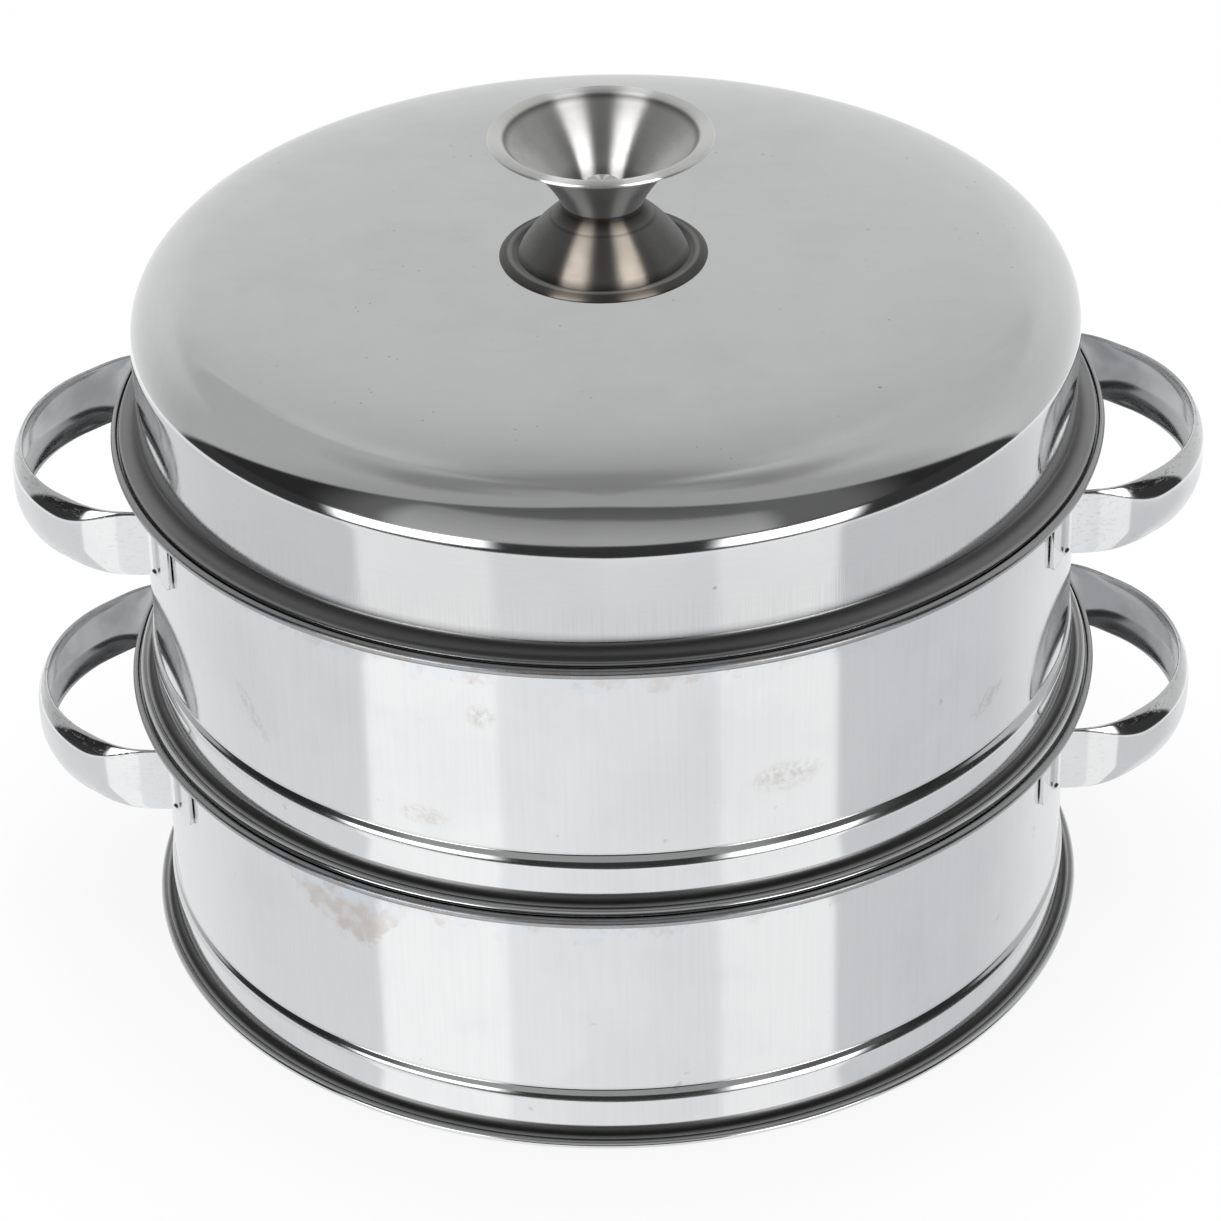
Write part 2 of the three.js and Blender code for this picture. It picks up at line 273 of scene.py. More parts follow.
def polishedSheet(look):
    # tier walls: mirror polish with faint clouds, streaks and smears, heat tint under the rim, and painted shade with
    # some grime that makes the coves black and the rolls, lip, step and inside darker
    finish = finishMaterial("polishedSheet")
    spot, (x, y, z) = finish.place()
    dull, drop = finish.mark("dull"), finish.mark("drop")
    turn = x.math("ARCTAN2", y * -1.0) * perRadian
    cloud = finish.noise(spot, 26.0, 4.0, 0.6).eased(0.42, 0.66)
    streaks = finish.noise(finish.stretch(x * 50.0, y * 50.0, z * 1.2), 20.0, 3.0, 0.6).eased(0.35, 0.68)
    spots = finish.noise(spot, 150.0, 3.0, 0.6).eased(0.70, 0.76)
    grit = finish.noise(finish.stretch(x, y, z * 4.0), 300.0, 4.0, 0.65)
    blot = finish.noise(spot, 75.0, 6.0, 0.65)
    mottle = finish.noise(spot, 240.0, 4.0, 0.6)
    wave = finish.noise(spot, 9.0, 1.0, 0.4)
    scuff = finish.noise(spot, 500.0, 5.0, 0.65).eased(0.36, 0.68)
    smear = spots * 0.4
    for degrees, height, wide, tall, lean in look["smears"]:
        up = z / mm - height
        across = (turn - degrees - up * lean) / wide
        far = across * across + up * up / tall ** 2
        smear = smear + far.eased(1.2, 0.0) * scuff * 0.5
    # the tint reaches down from the rim by noise, furthest on the lower tier's left
    lobe = turn.plateau(*look["lobeTurns"]) * z.eased(*look["lobeTop"])
    depth = lobe * look["lobeDepth"] + blot * look["blotDepth"] + mottle * look["mottleDepth"]
    depth = depth - look["tintStart"] - drop
    gate = turn.plateau(*look["tintTurns"]) * (lobe * 0.45 + 0.55)
    tint = depth.eased(-1.0, 2.5) * gate * (mottle.eased(0.32, 0.62) * 0.6 + 0.4)
    blue = drop.eased(10.0, 3.0) * finish.noise(spot, 130.0, 3.0, 0.6).eased(0.42, 0.56)
    base = finish.mix(cloud * 0.45 + streaks * 0.2, look["bright"], look["cloud"])
    base = finish.mix(smear.math("MINIMUM", 1.0), base, look["stain"])
    base = finish.mix(tint * 0.8, base, finish.mix(blue, look["heat"], look["heatBlue"]))
    # painted shade with some grime: black in the foot cove, grey on rolls, lip and step, a little darker inside;
    # rougher there too
    base = finish.mix(dull * (grit * 0.06 + 0.97), base, look["grimeAndShade"])
    rough = cloud * look["roughCloud"] + smear * 0.1 + tint * 0.04 + dull * look["roughGrime"] + look["rough"]
    return steelOut(finish, base, rough, wave, look["waves"])


floorLook = dict(
    bright=colour(0.66, 0.665, 0.67), cloud=colour(0.58, 0.585, 0.59), rough=0.3, grain=0.00003, anisotropy=0.4)


def floorSheet(look):
    # perforated floors: satin sheet, rolled one way, clouded by use
    finish = finishMaterial("floorSheet")
    spot, (x, y, z) = finish.place()
    grain = finish.noise(finish.stretch(x * 4.0, y * 160.0, z), 10.0, 4.0, 0.6)
    cloud = finish.noise(spot, 18.0, 4.0, 0.6).eased(0.4, 0.7)
    base = finish.mix(cloud * 0.7, look["bright"], look["cloud"])
    rough = cloud * 0.08 + (grain - 0.5) * 0.12 + look["rough"]
    return steelOut(finish, base, rough, grain, look["grain"], look["anisotropy"])


strapLook = dict(
    bright=colour(0.79, 0.795, 0.80), cloud=colour(0.72, 0.725, 0.735), scratch=grey(0.42),
    darkTone=grey(0.03), rough=0.07, waves=0.00015,
    pitSpot=(0.1240, 0.0457, 0.0541), pitSize=(0.0010, 0.0006), tierPitch=0.07775, upperFrom=0.078)


def strapSheet(look):
    # handles: bright polish, scuffs along the rounded shoulders, painted shade on the inside face, which is rougher
    # too, and a small pit under each bend
    finish = finishMaterial("strapSheet")
    spot, (x, y, z) = finish.place()
    edge, inside = finish.mark("edge"), finish.mark("inside")
    cloud = finish.noise(spot, 40.0, 4.0, 0.6).eased(0.42, 0.68)
    scuff = finish.noise(finish.stretch(x, y, z * 3.0), 420.0, 4.0, 0.7).eased(0.52, 0.66)
    pits = finish.noise(spot, 900.0, 2.0, 0.5).eased(0.6, 0.7)
    wear = edge * scuff * (inside * -0.8 + 1.0)
    base = finish.mix(cloud * 0.5, look["bright"], look["cloud"])
    base = finish.mix(wear * 0.4 + pits * 0.06, base, look["scratch"])
    # painted shade on the inside face, which looks at the pot
    base = finish.mix(inside * (cloud * 0.15 + 0.28), base, look["darkTone"])
    inTier = z - z.math("GREATER_THAN", look["upperFrom"]) * look["tierPitch"]
    places = x.math("ABSOLUTE"), y.math("ABSOLUTE"), inTier
    across, along, up = [place - middle for place, middle in zip(places, look["pitSpot"])]
    far = (across * across + along * along + up * up).math("SQRT")
    base = finish.mix(far.eased(*look["pitSize"]), base, look["darkTone"])
    rough = cloud * 0.03 + wear * 0.3 + inside * 0.08 + look["rough"]
    wave = finish.noise(spot, 30.0, 1.0, 0.4)
    return steelOut(finish, base, rough, wave - wear * 0.05, look["waves"])


lidLook = dict(
    bright=colour(0.775, 0.78, 0.785), cloud=colour(0.71, 0.715, 0.725), grimeAndShade=colour(0.022, 0.020, 0.018),
    darkTone=colour(0.30, 0.295, 0.285), filmAndShade=grey(0.10),
    rough=0.06, roughTop=0.17, roughGrime=0.4, waves=0.0003)


def lidSheet(look):
    # lid: satin crown with pits, polished shoulder and wall, upright brush marks low on the wall, painted shade that
    # makes the cove black and the roll grey, and a grey film over the wall, thicker on the left as painted shade
    finish = finishMaterial("lidSheet")
    spot, (x, y, z) = finish.place()
    dull, crown, low, wall = [finish.mark(name) for name in ("dull", "crown", "low", "wall")]
    cloud = finish.noise(spot, 22.0, 4.0, 0.6).eased(0.42, 0.68)
    pits = finish.add("TexVoronoi", {"Vector": spot, "Scale": 330.0}).eased(0.13, 0.06)
    pits = pits * finish.noise(spot, 60.0, 2.0, 0.5).eased(0.54, 0.64) * (crown * 0.9 + 0.1)
    nicks = finish.add("TexVoronoi", {"Vector": spot, "Scale": 75.0}).eased(0.06, 0.035)
    nicks = nicks * finish.noise(spot, 35.0, 2.0, 0.5).eased(0.55, 0.62)
    uprights = finish.noise(finish.stretch(x * 110.0, y * 110.0, z * 2.0), 24.0, 3.0, 0.6)
    weave = finish.noise(finish.stretch(x * 5.0, y * 5.0, z * 60.0), 20.0, 3.0, 0.6)
    brushed = uprights.eased(0.42, 0.72) * low
    rubs = finish.noise(finish.stretch(x, y * 5.0, z), 60.0, 5.0, 0.7).eased(0.56, 0.78) * crown
    grit = finish.noise(finish.stretch(x, y, z * 4.0), 300.0, 4.0, 0.65)
    wave = finish.noise(spot, 8.0, 1.0, 0.4)
    base = finish.mix(cloud * 0.35 + rubs * 0.25 + weave.eased(0.4, 0.65) * 0.15, look["bright"], look["cloud"])
    base = finish.mix((pits * 0.55 + nicks * 0.5 + brushed * 0.10).math("MINIMUM", 1.0), base, look["darkTone"])
    # thin grey film over the wall, thicker on the left as painted shade of that side
    base = finish.mix(wall * (x.eased(0.08, -0.02) * 0.08 + 0.06), base, look["filmAndShade"])
    # painted shade with some grime: black cove and grey roll, rougher there too
    base = finish.mix(dull * (grit * 0.06 + 0.97), base, look["grimeAndShade"])
    rough = cloud * 0.03 + crown * look["roughTop"] + rubs * 0.05 + dull * look["roughGrime"] + look["rough"]
    height = wave - pits * 0.05 + brushed * 0.012
    return steelOut(finish, base, rough, height, look["waves"])


knobLook = dict(
    bright=colour(0.48, 0.475, 0.47), cloud=colour(0.40, 0.395, 0.39), grimeAndShade=colour(0.046, 0.044, 0.042),
    bare=colour(0.80, 0.80, 0.79), rough=0.36, rings=0.000012, anisotropy=1.0, turn=0.25)


def knobSheet(look):
    # knob: spun satin with turning rings, brighter on the rubbed rim and with a painted highlight on the bead, darker
    # on the cone, flange and cup outside, with painted shade in the groove, crease, cup floor and where cup and base
    # meet
    finish = finishMaterial("knobSheet")
    spot, (x, y, z) = finish.place()
    dull, bare = finish.mark("dull"), finish.mark("bare")
    radius = (x * x + y * y).math("SQRT")
    rings = finish.noise(finish.stretch(radius * 300.0, z * 300.0, 0.0), 6.0, 4.0, 0.6)
    cloud = finish.noise(spot, 90.0, 4.0, 0.6).eased(0.4, 0.68)
    base = finish.mix(cloud * 0.5, look["bright"], look["cloud"])
    base = finish.mix(rings.eased(0.5, 0.75) * 0.2, base, look["cloud"])
    # rubbed rim, and a painted highlight along the bead's crest
    base = finish.mix(bare, base, look["bare"])
    # painted shade in the groove, crease, cup floor and under the cup, on a darker cone, flange and cup outside
    base = finish.mix(dull, base, look["grimeAndShade"])
    rough = (rings - 0.5) * 0.08 + cloud * 0.04 - bare * 0.05 + look["rough"]
    return steelOut(finish, base, rough, rings, look["rings"], look["anisotropy"], look["turn"])


# tier band: foot roll, cove, skirt, step, wall, cove, folded rim with seat and lip

tierSize = dict(
    sheet=0.8, rollProud=0.2, wallRadius=130, height=77.45, skirtRadius=131.1, skirtTop=12.2, stepHeight=5.5,
    stepTilt=((0, 0), (2.7, 14), (3.1, 24), (4.0, 24), (4.8, 3), (5.6, 0)),  # length up the step, degrees
    footRadius=135.2, footHem=2.5, footCove=2.9, footLand=1.4, footPlay=0.7,
    rimHem=1.8, rimCove=4, seatWidth=3.3, lipWidth=1.5, lipRise=1.2, lipRound=0.35,
    turns=288)


def stepRun(size, depth):
    # leans in by a tilt from upright along the middle of the sheet, drawn at a depth outside it
    length = np.linspace(0, size["stepTilt"][-1][0], 37)
    tilt = np.radians(np.interp(length, *zip(*size["stepTilt"])))
    share = np.diff(length)
    lean = (tilt[1:] + tilt[:-1]) / 2
    inward = np.r_[0, np.cumsum(np.sin(lean) * share)]
    upward = np.r_[0, np.cumsum(np.cos(lean) * share)]
    inward *= (size["skirtRadius"] - size["wallRadius"]) / inward[-1]
    radius = size["skirtRadius"] - size["sheet"] / 2 - inward
    return np.column_stack([radius + depth * np.cos(tilt), size["skirtTop"] + upward + depth * np.sin(tilt)])


def tierSection(size):
    # up the outside from the foot's land, over the lip and the seat, and down the inside
    half, height = size["sheet"] / 2, size["height"]
    footTop = size["footHem"] + size["footCove"]
    footEdge = size["footRadius"] - size["footHem"] / 2
    landInner = footEdge - size["footLand"]
    roll = size["footHem"] / 2
    lipInner = size["footRadius"] + size["footPlay"]
    rimUnder = height - size["rimHem"]
    coveBottom = rimUnder - size["rimCove"]
    seatInner = lipInner - size["seatWidth"]
    fold = size["rimHem"] / 2
    sunk = half + size["rollProud"]
    skirtMiddle = size["skirtRadius"] - half
    wallMiddle = size["wallRadius"] - half
    lipHalf = (size["rimHem"] + size["lipRise"]) / 2
    lipRound = size["lipRound"]
    lipTop = height + size["lipRise"]

    def band(side):
        # cove, skirt, step, wall and cove of one face; side is 1 outside and -1 inside
        out = side * half
        return joinRuns(
            arcRun(footEdge, footTop, footEdge - skirtMiddle - out, size["footCove"] + sunk - out, 270, 180, 14),
            stepRun(size, out),
            lineRun((wallMiddle + out, size["skirtTop"] + size["stepHeight"]), (wallMiddle + out, coveBottom), 12),
            arcRun(lipInner, coveBottom, lipInner - wallMiddle - out, size["rimCove"] + sunk - out, 180, 90, 16))

    footOut = arcRun(footEdge, roll, roll, roll, -90, 170, 20)
    lip = joinRuns(
        lineRun((seatInner, rimUnder), (lipInner + lipRound, rimUnder), 3),
        arcRun(lipInner + lipRound, rimUnder + lipHalf, size["lipWidth"] - lipRound, lipHalf, -90, 90, 17),
        arcRun(lipInner + lipRound, lipTop - lipRound, lipRound, lipRound, 90, 180, 6),
        arcRun(lipInner - lipRound, height + lipRound, lipRound, lipRound, 0, -90, 6),
        lineRun((lipInner - lipRound, height), (seatInner, height), 3),
        arcRun(seatInner, height - fold, fold, fold, 90, 300, 16))
    footIn = arcRun(landInner, roll, roll, roll, 60, 270, 16)
    outside = meetRuns(footOut, band(1))
    outside = meetRuns(outside, lip)
    inside = meetRuns(band(-1)[::-1], footIn)
    return meetRuns(outside, inside)


# shares of painted shade, with more roughness, by place on the tier
tierDullAndShade = dict(coveLow=0.96, coveFade=0.3, foot=0.04, step=0.12, rim=0.48, inside=0.24)


def tierMarks(section, size, dull):
    # painted shade, rougher there too: near black low in the foot cove, grey on rolls, lip and step, bright
    # elsewhere; the inside is a little darker and rougher
    radius, height = section.T
    footTop = size["footHem"] + size["footCove"]
    stepTop = size["skirtTop"] + size["stepHeight"]
    rimUnder = size["height"] - size["rimHem"]
    cove = dull["coveLow"] - dull["coveFade"] * smooth(size["footHem"] + 0.6, footTop - 0.2, height)
    foot = dull["foot"] + (cove - dull["foot"]) * smooth(size["footHem"] - 0.5, size["footHem"] + 0.4, height)
    foot = foot * smooth(footTop, footTop - 0.5, height)
    step = dull["step"] * smooth(size["skirtTop"] + 0.6, size["skirtTop"] + 1.6, height)
    step = step * smooth(stepTop, stepTop - 0.8, height)
    rim = dull["rim"] * smooth(rimUnder - 4, rimUnder - 1.2, height)
    inside = dull["inside"] * smooth(size["wallRadius"] - 0.2, size["wallRadius"] - 0.5, radius)
    drop = np.where(inside > 0, 99, np.maximum(rimUnder - size["rimCove"] - height, 0))  # under the rim
    return dict(dull=np.maximum.reduce([foot, step, rim, inside]), drop=drop)


# perforated floor: cells round the holes, turned-down rim

floorSize = dict(
    sheet=0.8, outer=130.1, top=12.6, rim=5, corner=1.2, hole=5, pitch=34, rings=3, perRing=6,
    arcStep=2.5, sideSteps=8, rows=4, crease=30)


def holeCells(size, ring):
    # every hole of a ring at once: straight blend from the hole's circle to its cell of the disc
    count = ring * size["perRing"]
    width = 360 / count
    middle = (np.arange(count) + ring / 2) * width
    inner, outer = (ring - 0.5) * size["pitch"], (ring + 0.5) * size["pitch"]
    arcs = round(width / size["arcStep"])
    swing = np.linspace(-width / 2, width / 2, arcs + 1)
    side = np.linspace(inner, outer, size["sideSteps"] + 1)
    edgeAngle = np.concatenate([swing[:-1], np.full(len(side) - 1, width / 2), swing[:0:-1],
                                np.full(len(side) - 1, -width / 2)])
    edgeRadius = np.concatenate([np.full(arcs, inner), side[:-1], np.full(arcs, outer), side[:0:-1]])
    turn = np.radians(middle[:, None] + edgeAngle[::-1])  # anticlockwise, so that the faces look up
    reach = edgeRadius[::-1]
    edge = np.stack([reach * np.cos(turn), reach * np.sin(turn)], -1)
    centre = ring * size["pitch"] * np.stack([np.cos(np.radians(middle)), np.sin(np.radians(middle))], -1)
    return cellRows(edge, centre[:, None], size)


def cellRows(edge, centre, size):
    # rows of points from the hole's edge out to the cell's edge
    way = edge - centre
    circle = centre + size["hole"] * way / np.linalg.norm(way, axis=-1, keepdims=True)
    share = np.linspace(0, 1, size["rows"])[:, None, None]
    flat = circle[:, None] * (1 - share) + edge[:, None] * share
    return np.concatenate([flat, np.full(flat.shape[:-1] + (1,), float(size["top"]))], -1)


def cellFaces(cells, rows, around, start):
    # quads of equal cells from a start number on, turned over to look up
    quads = gridFaces(rows, around)[:, [0, 3, 2, 1]]
    return (start + np.arange(cells)[:, None, None] * rows * around + quads).reshape(-1, 4)


def sharpenRims(mesh):
    # edges with one face stay crisp when the sheet gets its thickness
    used = np.empty(len(mesh.loops), np.int32)
    mesh.loops.foreach_get("edge_index", used)
    sharp = np.empty(len(mesh.edges), bool)
    mesh.edges.foreach_get("use_edge_sharp", sharp)
    mesh.edges.foreach_set("use_edge_sharp", sharp | (np.bincount(used, minlength=len(sharp)) == 1))


def floorPiece(name, base):
    # cells of the middle hole and of each ring, then the turned-down rim: x = r cos a, y = r sin a
    size = floorSize
    turn = np.radians(np.arange(0, 360, size["arcStep"]))
    circle = np.stack([np.cos(turn), np.sin(turn)], -1)
    groups = [cellRows(size["pitch"] / 2 * circle[None], np.zeros((1, 1, 2)), size)]
    groups += [holeCells(size, ring) for ring in range(1, size["rings"] + 1)]
    cornerR, cornerZ = size["outer"] - size["corner"], size["top"] - size["corner"]
    rim = joinRuns(
        lineRun(((size["rings"] + 0.5) * size["pitch"], size["top"]), (cornerR, size["top"]), 4),
        arcRun(cornerR, cornerZ, size["corner"], size["corner"], 90, 0, 8),
        lineRun((size["outer"], cornerZ), (size["outer"], size["top"] - size["rim"]), 3))
    rimGrid = np.concatenate([rim[:, None, :1] * circle[None], np.repeat(rim[:, None, 1:], len(turn), 1)], -1)
    groups.append(rimGrid[None])
    points, faces, start = [], [], 0
    for group in groups:
        cells, rows, around = group.shape[:3]
        faces.append(cellFaces(cells, rows, around, start))
        points.append(group.reshape(-1, 3))
        start += cells * rows * around
    points = np.vstack(points) + np.array([0, 0, base])
    piece = makePiece(name, points, np.vstack(faces).tolist(), size["crease"])
    weldPoints(piece, size["crease"])
    sharpenRims(piece.data)
    wall = piece.modifiers.new("sheet", "SOLIDIFY")
    wall.thickness = size["sheet"] * mm
    wall.offset = -1
    wall.use_even_offset = True
    return piece


# strap handles: flat weld tabs bent out into a crowned loop

strapSize = dict(
    sheet=1.0, height=19.6, drop=15, crownRadius=14, crownSweep=34, reach=166, halfWidth=45, rootStraight=2,
    bendRadius=3, tabLength=9, tabHeight=19.4, tabDrop=14.9, tabSweep=5, tabCorner=3, crownBlend=24, seatGap=0.3,
    edgeRound=0.16, wallRadius=130, tierHeight=77.45, crease=40)


def strapPath(size):
    # plan of the outer face from one tab end to the other, its outward normals and its crown from 0 to 1
    tabFace = size["wallRadius"] + size["seatGap"] + size["sheet"]
    bend = size["bendRadius"]
    bendY = size["halfWidth"] + bend
    bendX = math.sqrt((tabFace + bend) ** 2 - bendY ** 2)
    bendAngle = math.degrees(math.atan2(bendY, bendX))
    tabAngle = bendAngle + math.degrees(size["tabLength"] / tabFace)
    centre = bendX + size["rootStraight"]
    reach = size["reach"] - centre

    def piece(x, y, radiusX, radiusY, start, end, count, sign):
        # elliptical arc and its normals, outwards where sign is 1 and inwards where -1
        angle = np.radians(np.linspace(start, end, count))
        spot = np.column_stack([x + radiusX * np.cos(angle), y + radiusY * np.sin(angle)])
        normal = np.column_stack([np.cos(angle) / radiusX, np.sin(angle) / radiusY]) * sign
        return spot, normal / np.linalg.norm(normal, axis=1, keepdims=True)

    runs = [
        piece(0, 0, tabFace, tabFace, tabAngle, bendAngle, 28, 1),
        piece(bendX, bendY, bend, bend, bendAngle + 180, 270, 10, -1),
        piece(centre, 0, reach, size["halfWidth"], 90, -90, 97, 1),
        piece(bendX, -bendY, bend, bend, 90, 180 - bendAngle, 10, -1),
        piece(0, 0, tabFace, tabFace, -bendAngle, -tabAngle, 28, 1)]
    spot, normal = [np.vstack(column) for column in zip(*runs)]
    keep = np.r_[True, stepLengths(spot) > 1e-6]
    spot, normal = spot[keep], normal[keep]
    away = np.hypot(spot[:, 0] - bendX, np.abs(spot[:, 1]) - size["halfWidth"]) - bend
    crown = smooth(0, size["crownBlend"], np.maximum(away, 0)) * (spot[:, 0] > bendX)
    run = np.r_[0, np.cumsum(stepLengths(spot))]
    inset = np.clip(1 - np.minimum(run, run[-1] - run) / size["tabCorner"], 0, 1)
    corner = size["tabCorner"] * (1 - np.sqrt(1 - inset ** 2))  # quarter circles at the tab ends
    return spot, normal, crown, corner


def strapGrid(size):
    # strap section at each place: two shoulder arcs on each face and round edges between the faces
    spot, normal, crown, corner = strapPath(size)
    blend = lambda flat, full: (flat + (full - flat) * crown)[:, None]
    half = blend(size["tabHeight"], size["height"]) / 2 - corner[:, None]
    middle = size["tierHeight"] - blend(size["tabDrop"], size["drop"])
    sweep = np.radians(blend(size["tabSweep"], size["crownSweep"]))
    radius, sheet = size["crownRadius"], size["sheet"]
    flat = half - radius * np.sin(sweep)
    share = np.linspace(0, 1, 9)[None]

    def face(r):
        # lower and upper shoulder of one face, as arcs of radius r
        low, high = (share - 1) * sweep, share * sweep
        out = np.concatenate([r * np.cos(low), r * np.cos(high)], 1) - radius
        up = np.concatenate([middle - flat + r * np.sin(low), middle + flat + r * np.sin(high)], 1)
        return out, up

    def edge(side):
        # low half ellipse over the sheet's cut edge, side 1 on top and -1 underneath
        swing = np.radians(np.linspace(0, 180, 9)[1:-1])[None]
        across, over = radius - sheet / 2 + sheet / 2 * np.cos(swing), size["edgeRound"] * np.sin(swing)
        out = across * np.cos(sweep) - over * np.sin(sweep) - radius
        up = middle + side * (flat + across * np.sin(sweep) + over * np.cos(sweep))
        return (out, up) if side > 0 else (out[:, ::-1], up[:, ::-1])

    outer, inner = face(radius), face(radius - sheet)
    top, bottom = edge(1), edge(-1)
    out, up = [np.concatenate([outer[i], top[i], inner[i][:, ::-1], bottom[i]], 1) for i in (0, 1)]
    plan = spot[:, None] + normal[:, None] * out[..., None]
    shoulder = np.abs(up - middle) / half
    worn = smooth(0.5, 0.8, shoulder) * (0.25 + 0.75 * crown[:, None])
    columns = np.arange(out.shape[1]) - outer[0].shape[1] - top[0].shape[1]
    inside = np.broadcast_to((columns >= 0) & (columns < inner[0].shape[1]), out.shape)
    return np.concatenate([plan, up[..., None]], -1), worn, inside


def strapPiece(name, base, turn):
    # the strap's sections joined along its path, with a flat end on each tab
    grid, worn, inside = strapGrid(strapSize)
    flip = -1 if turn else 1  # half a turn about the axis for the left handle
    grid = grid * np.array([flip, flip, 1]) + np.array([0, 0, base])
    places, around = grid.shape[:2]
    faces = gridFaces(places, around).tolist()
    faces.append(list(range(around - 1, -1, -1)))
    faces.append([(places - 1) * around + k for k in range(around)])
    return makePiece(name, grid.reshape(-1, 3), faces, strapSize["crease"], edge=worn.ravel(), inside=inside.ravel())


# lid: flat crown, round shoulder, wall, cove and rolled edge

lidSize = dict(
    sheet=0.8, radius=129.8, wallHeight=28.8, shoulder=15.6, crownRise=1.6, crownLean=9, hem=2.0, cove=2.8, land=1.6,
    edgeCentre=134.2, turns=288)


def lidSection(size):
    # from the axis out along the inside, round the rolled edge, up the outside and in to the axis
    keys = "sheet", "radius", "shoulder", "wallHeight", "edgeCentre", "crownRise"
    sheet, radius, shoulder, wallTop, edge, rise = [size[key] for key in keys]
    coveTop = size["hem"] + size["cove"]
    lean = math.radians(size["crownLean"])
    top = wallTop + shoulder * math.cos(lean) + rise
    centre = radius - shoulder
    crownEdge = centre + shoulder * math.sin(lean)
    wallInner = radius - sheet
    inside = shoulder - sheet
    landInner = edge - size["land"]
    roll = size["hem"] / 2
    share = np.sqrt(np.linspace(0, 1, 30))[:, None]
    fall = share ** (math.tan(lean) * crownEdge / rise)  # flat, leaning into the shoulder at its edge
    crown = np.hstack([share * crownEdge, top - rise * fall])
    start = 90 - size["crownLean"]
    return joinRuns(
        crown - np.array([0, sheet]),
        arcRun(centre, wallTop, inside, inside, start, 0, 24),
        lineRun((wallInner, wallTop), (wallInner, coveTop), 6),
        arcRun(landInner, coveTop, landInner - wallInner, coveTop, 180, 270, 12),
        arcRun(edge, roll, roll, roll, -90, 90, 17),
        arcRun(edge, coveTop, edge - radius, size["cove"], 270, 180, 16),
        lineRun((radius, coveTop), (radius, wallTop), 10),
        arcRun(centre, wallTop, shoulder, shoulder, 0, start, 36),
        crown[::-1])


lidDullAndShade = dict(roll=0.48, cove=0.88)


def lidMarks(section, size, shade):
    # painted shade making the cove black and the roll grey, satin crown, brush marks low on the wall, and the whole
    # wall for a thin grey film that carries painted shade
    radius, height = section.T
    coveTop = size["hem"] + size["cove"]
    out = np.arange(len(radius)) > np.argmin(height)
    roll = shade["roll"] + (shade["cove"] - shade["roll"]) * smooth(size["hem"] - 0.6, size["hem"] + 1.2, height)
    dull = smooth(coveTop + 0.9, coveTop - 1.3, height) * roll * out
    crown = smooth(size["radius"] - 12, size["radius"] - 19, radius) * (height > size["wallHeight"]) * out
    low = smooth(coveTop + 15, coveTop + 4, height) * out * (radius < size["radius"] + 0.5)
    wall = smooth(size["wallHeight"] + 3.5, size["wallHeight"] + 1, height) * out
    return dict(dull=dull, crown=crown, low=low, wall=wall)


# knob: two pressed cones back to back and the rivet through them

knobSize = dict(
    sheet=1.0, waist=10.9, neckHeight=2.9, neckFlare=3.0, flange=28.4, foot=22.4, footBend=1.6, swell=0.6, bead=0.8,
    beadInner=1.3, groove=0.5, grooveBend=0.7, neckBend=0.9, floorBend=0.9, rimBend=1.1, headBends=(1.0, 0.8),
    baseHeight=15.6, cupHeight=20.2, mouth=25.8, mouthBend=1.2, hollow=1.6, rim=30.6, hole=2.8,
    rivet=2.5, head=6.0, headTop=4.8, headRise=4.9, headGap=1.3, tail=4.5, tailRise=1.2, tailGap=0.6, tailRound=0.4,
    turns=128, rivetTurns=64)


def sheetSection(path, thickness):
    # half the thickness to each side of a path, with half-round ends
    along = np.gradient(path, axis=0)
    along /= np.linalg.norm(along, axis=1, keepdims=True)
    right = np.column_stack([along[:, 1], -along[:, 0]]) * thickness / 2
    swing = np.radians(np.linspace(0, 180, 7)[1:-1])[:, None]
    tip = path[-1] + right[-1] * np.cos(swing) + along[-1] * thickness / 2 * np.sin(swing)
    tail = path[0] - right[0] * np.cos(swing) - along[0] * thickness / 2 * np.sin(swing)
    return np.vstack([path + right, tip, (path - right)[::-1], tail])


def roundedPath(corners, bends, count=7):
    # straight runs between corners, each inner corner cut by a quadratic bend of its own length
    corners = np.array(corners, float)
    runs = [corners[:1]]
    for before, corner, after, bend in zip(corners[:-2], corners[1:-1], corners[2:], bends):
        start = corner + (before - corner) / np.linalg.norm(before - corner) * bend
        end = corner + (after - corner) / np.linalg.norm(after - corner) * bend
        runs.append(quadraticRun(start, corner, end, count))
    runs.append(corners[-1:])
    return joinRuns(*runs)


def knobBasePath(size):
    # beaded flange inwards, groove, swelling cone, crease, short neck, flat top
    half = size["sheet"] / 2
    neckFoot = (size["waist"] + size["neckFlare"] - half, size["baseHeight"] - size["neckHeight"])
    cone = bowedRun((size["foot"], half + size["footBend"]), neckFoot, size["swell"], 22)
    flange = bowedRun((size["flange"] - half, half), (size["foot"] + size["beadInner"], half), size["bead"], 12)
    groove = roundedPath([flange[-2], (size["foot"] + size["groove"], half), cone[2]], [size["grooveBend"]])
    level = size["baseHeight"] - half
    top = roundedPath([neckFoot, (size["waist"] - half, level), (size["hole"] + half, level)], [size["neckBend"]])
    return joinRuns(flange[:-1], groove[1:-1], cone[2:], top[1:])


def knobCupPath(size):
    # floor outwards, bend, drawn-in funnel, bend, flat rim
    half = size["sheet"] / 2
    top = size["cupHeight"] - half
    funnel = bowedRun((size["waist"] - half, half), (size["mouth"], top - size["mouthBend"]), -size["hollow"], 24)
    floor = [(size["hole"] + half, half), (size["waist"] - half, half), funnel[2]]
    rim = [funnel[-2], (size["mouth"] + size["mouthBend"], top), (size["rim"] - half, top)]
    floor, rim = roundedPath(floor, [size["floorBend"]]), roundedPath(rim, [size["rimBend"]])
    return joinRuns(floor, funnel[3:-2], rim)


